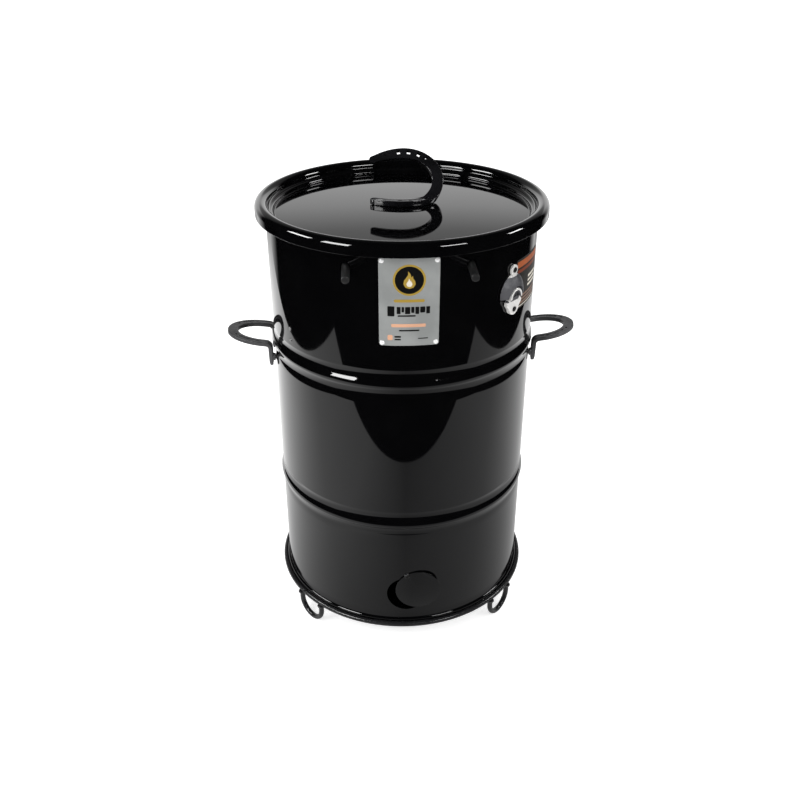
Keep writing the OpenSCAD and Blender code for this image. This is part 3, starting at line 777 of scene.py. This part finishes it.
LABEL_LOW, LABEL_TOP, LABEL_FROM, LABEL_TO = 650.0, 739.0, 49.5, 72.0
label_mid = (LABEL_FROM + LABEL_TO) / 2
label_half = math.radians(LABEL_TO - LABEL_FROM) / 2 * BARREL_R
label = join("side_label", [wall_piece("side_label", rect(-label_half, LABEL_LOW, label_half, LABEL_TOP, 4),
                                       BARREL_R + 0.05, 0.3, label_film, label_mid)])
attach(label, "barrel")
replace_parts(label, "care_label")
left, right = -label_half, label_half
shapes = [(rect(left + 3, 724, right - 2, 735, 1.5), ink_orange),
          (rect(left + 5, 714.5, right - 2, 720.5, 1), ink_brown)]
for z in (698, 690, 682):
    shapes.append((rect(2, z - 2, right - 4, z + 2.2, 1), ink_pale))
for z in (671, 665, 659):
    shapes.append((rect(left + 14, z - 1.6, right - 4, z + 1.6, 0.8), ink_copper))
shapes.append((rect(left + 4, 653, right - 4, 654.6, 0.6), ink_pale))
printed("side_label_bars", shapes, BARREL_R + 0.36, 0.05, label_mid)

# ---------------------------------------------------------------- bottle opener

MOUTH_Z, MOUTH_R, LIP_W = 682.0, 12.5, 4.1


def remeshed(name, source, voxel, smooth, mats, pick):
    """A cast-looking copy of a CAD node: voxel remesh, a little smoothing, and materials by place."""
    obj = link(name, source.data.copy())
    obj.data.materials.clear()
    for m in mats:
        obj.data.materials.append(m)
    mod = obj.modifiers.new("voxels", "REMESH")
    mod.mode, mod.voxel_size = "VOXEL", voxel
    soft = obj.modifiers.new("soft", "SMOOTH")
    soft.factor, soft.iterations = 0.5, smooth
    apply_modifiers(obj)
    for poly in obj.data.polygons:
        poly.use_smooth = True
        poly.material_index = pick(poly.center)
    return obj


opener_inverse = outward(OPENER_AZ, 0, OPENER_Y).inverted()


def opener_pick(centre):
    """0 bright metal, 1 painted dark: the hood carries a painted dark reflection and its mouth painted shade,
    with a bright lip between them.
    """
    p = opener_inverse @ Vector(centre) / MM
    if p.y > EYE_Z - 11 or p.y < 676:
        return 0
    from_mouth = math.hypot(p.x, p.y - MOUTH_Z)
    return 0 if MOUTH_R < from_mouth < MOUTH_R + LIP_W and p.z < 11.6 else 1


# The hood and the mouth take the dark material: painted reflection on the hood, painted shade in the mouth.
opener = remeshed("opener_casting", nodes["bottle_opener"], 0.55 * MM, 5, (nickel, painted_reflection_and_shade), opener_pick)
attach(opener, "barrel")
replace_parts(opener, "bottle_opener")

# ---------------------------------------------------------------- rods, hooks, grate

ROD_HALF, CHAMFER = 267.0, 0.9
half_profile = [(0, ROD_HALF), (ROD_R - CHAMFER, ROD_HALF), (ROD_R - 0.25, ROD_HALF - 0.6 * CHAMFER),
                (ROD_R, ROD_HALF - 1.6)]
rod_profile = [*((r, -y) for r, y in half_profile), (ROD_R, 0), *reversed(half_profile)]
for sign, name in ((-1, "left"), (1, "right")):
    rod = link("hanging_rod_" + name, lathe("rod", rod_profile, 48, 40, closed=False), rod_steel)
    rod.data.transform(Matrix.Translation((sign * ROD_X * MM, 0, ROD_Z * MM)) @ SIDEWAYS)
    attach(rod, name + "_rod")
    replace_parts(rod, "rod_" + name)

WIRE_R, SHANK, HOOK_BEND = 2.0, 110.0, 20.0
HOOK_R = ROD_R + 0.08 + WIRE_R
hook_path = [(x, 0, z) for x, z in arc(0, 0, HOOK_R, 200, 0, 26)]
hook_path += [(HOOK_R, 0, -SHANK * i / 8) for i in range(1, 9)]
hook_path += [(x, 0, z) for x, z in arc(HOOK_R - HOOK_BEND, -SHANK, HOOK_BEND, 0, -200, 30)[1:]]
end, tip_lean = hook_path[-1], math.radians(20)
hook_path += [(end[0] + math.sin(tip_lean) * d, 0, end[2] + math.cos(tip_lean) * d) for d in (3, 6, 9, 11.5)]
hook_len = len(hook_path) - 1


def hook_taper(t):
    """The wire's share of its full radius, down to a point at the tip."""
    left = (1 - t) * hook_len
    return 1.0 if left > 4 else 0.2 + 0.8 * left / 4


hook_mesh = tube("meat_hook", hook_path, WIRE_R, 16, taper=hook_taper)
hook_mesh.materials.append(stainless)
for sign, name in ((-1, "left"), (1, "right")):
    for i, y in enumerate((-105, -35, 35, 105), 1):
        hook = bpy.data.objects.new(f"meat_hook_{name}_{i}", hook_mesh.copy())
        scene.collection.objects.link(hook)
        hook.data.transform(Matrix.Translation((sign * ROD_X * MM, y * MM, ROD_Z * MM)))
        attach(hook, f"hook_{name}_{i}_body")
        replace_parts(hook, f"hook_{name}_{i}")


def wire_grate(name, radius, z, pitch, wire, rim, mat):
    """A round grate: rim wire and parallel bars that end on it."""
    ring_pts = [(radius * math.cos(2 * math.pi * i / 128), radius * math.sin(2 * math.pi * i / 128), z)
                for i in range(128)]
    parts = [(tube(name, ring_pts, rim, 14, closed=True), mat)]
    count = int((radius - 12) // pitch)
    for i in range(-count, count + 1):
        y = i * pitch
        h = math.sqrt(radius ** 2 - y ** 2)
        parts.append((tube(name, [(-h, y, z), (h, y, z)], wire, 12), mat))
    return join(name, parts)


GRATE_R, GRATE_Z, STAY_X = 214.4, 764.4, 45.0
grate = wire_grate("cooking_grate_wires", GRATE_R, GRATE_Z, 14, 1.95, 2.0, grate_steel)
reach = math.sqrt((GRATE_R - 0.4) ** 2 - STAY_X ** 2)
stays = [(tube("stay", [(x, -reach, GRATE_Z), (x, reach, GRATE_Z)], 1.9, 12), grate_steel)
         for x in (-STAY_X, STAY_X)]
stay = join("cooking_grate_stays", stays)
for piece in (grate, stay):
    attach(piece, "grate")
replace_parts(grate, "cooking_grate")

# ---------------------------------------------------------------- charcoal basket

BASKET_R, BASKET_Z, BASKET_TOP, BAIL_Z = 140.0, 86.5, 236.5, 239.55


def strand(points, wide, thick):
    """A flat strand of expanded sheet along points on the basket's wall."""
    verts, faces = [], []
    for i, (a, z) in enumerate(points):
        before, after = points[max(0, i - 1)], points[min(len(points) - 1, i + 1)]
        da, dz = (after[0] - before[0]) * BASKET_R, after[1] - before[1]
        length = math.hypot(da, dz)
        na, nz = -dz / length / BASKET_R, da / length
        for s, r in ((-1, -thick), (1, -thick), (1, 0), (-1, 0)):
            ang, hz = a + s * na * wide / 2, z + s * nz * wide / 2
            out = BASKET_R - 0.2 + r
            verts.append((out * math.sin(ang) * MM, -out * math.cos(ang) * MM, hz * MM))
    for i in range(len(points) - 1):
        for k in range(4):
            faces.append((4 * i + k, 4 * i + (k + 1) % 4, 4 * i + 4 + (k + 1) % 4, 4 * i + 4 + k))
    faces += [(0, 1, 2, 3), tuple(range(4 * len(points) - 4, 4 * len(points)))]
    return mesh_from("strand", verts, faces)


parts = []
columns, zigzags = 32, 5
low_z, top_z = BASKET_Z + 7, BASKET_TOP - 9
for c in range(columns):
    for direction in (-1, 1):
        pts = []
        for k in range(zigzags * 4 + 1):
            z = low_z + (top_z - low_z) * k / (zigzags * 4)
            a = 2 * math.pi / columns * (c + 0.5 * direction * (1 - abs((k % 4) / 2 - 1)))
            pts.append((a, z))
        parts.append((strand(pts, 2.4, 1.8), raw_steel))
for z0, z1 in ((BASKET_Z, BASKET_Z + 9), (BASKET_TOP - 11, BASKET_TOP)):
    band = [(BASKET_R - 2, z0), (BASKET_R, z0), (BASKET_R, z1), (BASKET_R - 2, z1)]
    parts.append((lathe("band", band, 128), raw_steel))
basket = join("basket_mesh_wall", parts)
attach(basket, "barrel")
ears = []
for s in (-1, 1):
    bm = bmesh.new()
    bmesh.ops.create_cube(bm, size=1.0, matrix=Matrix.Translation((s * 141.6 * MM, 0, (BASKET_TOP - 1) * MM))
                          @ Matrix.Diagonal((4.6 * MM, 15.6 * MM, 25.6 * MM, 1)))
    bmesh.ops.bevel(bm, geom=bm.edges[:], offset=1.2 * MM, segments=3, affect="EDGES")
    ear = bpy.data.meshes.new("ear")
    bm.to_mesh(ear)
    bm.free()
    finish_mesh(ear)
    ears.append((ear, raw_steel))
ears_obj = join("basket_ears", ears)
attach(ears_obj, "barrel")
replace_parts(basket, "basket_wall")

floor_grate = wire_grate("basket_floor_wires", 135.5, 88.1, 16, 1.4, 1.5, raw_steel)
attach(floor_grate, "barrel")
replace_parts(floor_grate, "basket_grate")

BAIL_R = 135.8
bail_end = [(146.5, 0, BAIL_Z), (140.5, 0, BAIL_Z), (137.5, -1.2, BAIL_Z)]
bail_pts = [(-x, y, z) for x, y, z in bail_end]
bail_pts += [(x, y, BAIL_Z) for x, y in arc(0, 0, BAIL_R, 183, 357, 60)]
bail_pts += reversed(bail_end)
bail = link("basket_bail_wire", tube("bail", bail_pts, 3, 16), stainless)
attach(bail, "bail")
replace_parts(bail, "basket_bail")

# ---------------------------------------------------------------- CAD pieces that stay

finishes = {
    "barrel_bottom": (enamel, "enamel", 0.0), "handle_studs": (iron, "horseshoe_iron", 0.5),
    "handle_nuts": (zinc, "zinc", 0.5), "opener_nuts": (zinc, "zinc", 0.3),
    "vent_washer": (zinc, "zinc", 0.1), "vent_nut": (zinc, "zinc", 0.3),
    "lid_studs": (iron, "horseshoe_iron", 0.2), "lid_nuts": (zinc, "zinc", 0.3),
    "basket_legs": (raw_steel, "raw_steel", 0.5),
}
for name, (mat, slot, edge) in finishes.items():
    obj = nodes[name]
    obj.data.materials.clear()
    obj.data.materials.append(mat)
    if edge:
        mod = obj.modifiers.new("edge", "BEVEL")
        mod.width, mod.segments, mod.limit_method = edge * MM, 2, "ANGLE"
        mod.angle_limit = math.radians(40)


# ---------------------------------------------------------------- studio

def glow(name, strength):
    """A white emission material, with its node tree and emission node."""
    mat = bpy.data.materials.new(name)
    mat.use_nodes = True
    tree = mat.node_tree
    tree.nodes.clear()
    emit = tree.nodes.new("ShaderNodeEmission")
    emit.inputs["Color"].default_value = (1, 1, 1, 1)
    emit.inputs["Strength"].default_value = strength
    out = tree.nodes.new("ShaderNodeOutputMaterial")
    tree.links.new(emit.outputs["Emission"], out.inputs["Surface"])
    return mat, tree, emit


def only_reflected(obj):
    """Seen in reflections only: a studio card that is out of the picture and throws no shadow."""
    obj.visible_camera = False
    obj.visible_diffuse = False
    obj.visible_shadow = False
    obj.visible_transmission = False


CARD_DISTANCE = 2.3


def card(name, az, low, high, width_deg, strength):
    """A light panel beside the object, its direction counted from the front towards +X."""
    verts = []
    for z in (low, high):
        for s in (-1, 1):
            a = math.radians(az + s * width_deg / 2)
            verts.append((CARD_DISTANCE * math.sin(a), -CARD_DISTANCE * math.cos(a), z))
    mesh = bpy.data.meshes.new(name)
    mesh.from_pydata(verts, [], [(0, 1, 3, 2)])
    only_reflected(link(name, mesh, glow(name, strength)[0]))


def ramp(tree, value, stops):
    """A level that follows stops of (place, level)."""
    node = tree.nodes.new("ShaderNodeValToRGB")
    elements = node.color_ramp.elements
    while len(elements) < len(stops):
        elements.new(0.5)
    for element, (place, level) in zip(elements, stops):
        element.position = place
        element.color = (level, level, level, 1)
    tree.links.new(value, node.inputs["Fac"])
    return node.outputs["Color"]


world = bpy.data.worlds.new("studio")
scene.world = world
world.use_nodes = True
world.node_tree.nodes["Background"].inputs["Color"].default_value = (1, 1, 1, 1)
world.node_tree.nodes["Background"].inputs["Strength"].default_value = 1.0
world.cycles_visibility.glossy = False

floor_mesh = bpy.data.meshes.new("floor")
floor_mesh.from_pydata([(-30, -30, 0), (30, -30, 0), (30, 30, 0), (-30, 30, 0)], [], [(0, 1, 2, 3)])
floor_mat, _, floor_shader = new_material("floor", (0.9, 0.9, 0.9), 0, 0.9, 0.0)
floor_shader.inputs["Emission Color"].default_value = (1, 1, 1, 1)
floor_shader.inputs["Emission Strength"].default_value = 0.62
floor = link("floor", floor_mesh, floor_mat)
floor.visible_glossy = False


def position_parts(tree):
    geometry = tree.nodes.new("ShaderNodeNewGeometry")
    split = tree.nodes.new("ShaderNodeSeparateXYZ")
    tree.links.new(geometry.outputs["Position"], split.inputs["Vector"])
    return split.outputs


def math_node(tree, operation, *values):
    node = tree.nodes.new("ShaderNodeMath")
    node.operation = operation
    for i, v in enumerate(values):
        if isinstance(v, (int, float)):
            node.inputs[i].default_value = v
        else:
            tree.links.new(v, node.inputs[i])
    return node.outputs["Value"]


# the sheet under the object as reflections see it: pale on the left, dimmer in front and on the right
sheet_mesh = bpy.data.meshes.new("reflected_sheet")
sheet_mesh.from_pydata([(-1.38, -0.86, 0.001), (1.38, -0.86, 0.001), (1.38, 5, 0.001), (-1.38, 5, 0.001)], [],
                       [(0, 1, 2, 3)])
sheet_mat, tree, emit = glow("reflected_sheet", 1)
xyz = position_parts(tree)
across = remap(tree, xyz["X"], -0.9, 0.9, 0, 1)
side_level = ramp(tree, across, [(0.0, 1.0), (0.25, 0.85), (0.5, 0.32), (0.75, 0.5), (1.0, 0.62)])
depth = remap(tree, xyz["Y"], -0.9, 2.1, 0, 1)
depth_level = ramp(tree, depth, [(0.0, 0.9), (0.21, 1.0), (0.36, 1.5), (0.6, 2.0), (0.72, 1.8), (1.0, 0.75)])
tree.links.new(math_node(tree, "MULTIPLY", side_level, depth_level), emit.inputs["Strength"])
only_reflected(link("reflected_sheet", sheet_mesh, sheet_mat))

# the room as reflections see it: a pale wall behind that fades upwards, dark in front and overhead
ROOM_R = 9.0
dome_bm = bmesh.new()
bmesh.ops.create_uvsphere(dome_bm, u_segments=48, v_segments=32, radius=ROOM_R)
dome_mesh = bpy.data.meshes.new("reflected_room")
dome_bm.to_mesh(dome_mesh)
dome_bm.free()
dome_mat, tree, emit = glow("reflected_room", 1)
xyz = position_parts(tree)
up = math_node(tree, "DIVIDE", xyz["Z"], ROOM_R)
fade = ramp(tree, up, [(0.0, 1.0), (0.34, 1.0), (0.37, 0.8), (0.398, 0.4), (0.43, 0.3), (0.5, 0.2),
                       (0.8, 0.03)])
squares = [math_node(tree, "MULTIPLY", xyz[axis], xyz[axis]) for axis in ("X", "Y")]
level_distance = math_node(tree, "SQRT", math_node(tree, "ADD", *squares))
facing = math_node(tree, "DIVIDE", xyz["Y"], level_distance)
behind = remap(tree, facing, 0.66, 0.85, 0.0, 1.0)
level = math_node(tree, "MULTIPLY", fade, behind)
level = math_node(tree, "ADD", math_node(tree, "MULTIPLY", level, 1.3), 0.003)
tree.links.new(level, emit.inputs["Strength"])
only_reflected(link("reflected_room", dome_mesh, dome_mat))

card("panel_left", -85, 1.5, 2.05, 22, 22)
card("panel_front_left", -51, 1.15, 2.0, 21, 20)
card("panel_front_right", 36, 1.78, 2.1, 20, 24)
card("panel_right", 91, 1.5, 1.9, 15, 22)


def area(name, at, to, size, power):
    """A soft light that lights matt faces and shows in no reflection."""
    light = bpy.data.lights.new(name, "AREA")
    light.shape, light.size, light.size_y, light.energy = "RECTANGLE", size[0], size[1], power
    obj = bpy.data.objects.new(name, light)
    scene.collection.objects.link(obj)
    obj.location = at
    obj.rotation_mode = "QUATERNION"
    obj.rotation_quaternion = (Vector(to) - Vector(at)).to_track_quat("-Z", "Y")
    obj.visible_camera = False
    obj.visible_glossy = False


area("key", (-2.2, -1.8, 2.2), (0, 0, 0.5), (1.2, 1.2), 30)
area("fill", (2.2, -1.6, 1.8), (0, 0, 0.5), (1.2, 1.2), 14)

# ---------------------------------------------------------------- camera

cam_data = bpy.data.cameras.new("camera")
cam_data.lens = 40.66
cam_data.sensor_width = 36.0
cam_data.clip_start, cam_data.clip_end = 0.05, 100
cam = bpy.data.objects.new("camera", cam_data)
scene.collection.objects.link(cam)
PITCH, YAW = math.radians(29.22), math.radians(2.673)
cam.location = (-0.0747, -1.5271, 1.25605)
look = Vector((math.sin(YAW) * math.cos(PITCH), math.cos(YAW) * math.cos(PITCH), -math.sin(PITCH)))
cam.rotation_mode = "QUATERNION"
cam.rotation_quaternion = look.to_track_quat("-Z", "Y")
scene.camera = cam
scene.view_settings.view_transform = "Standard"
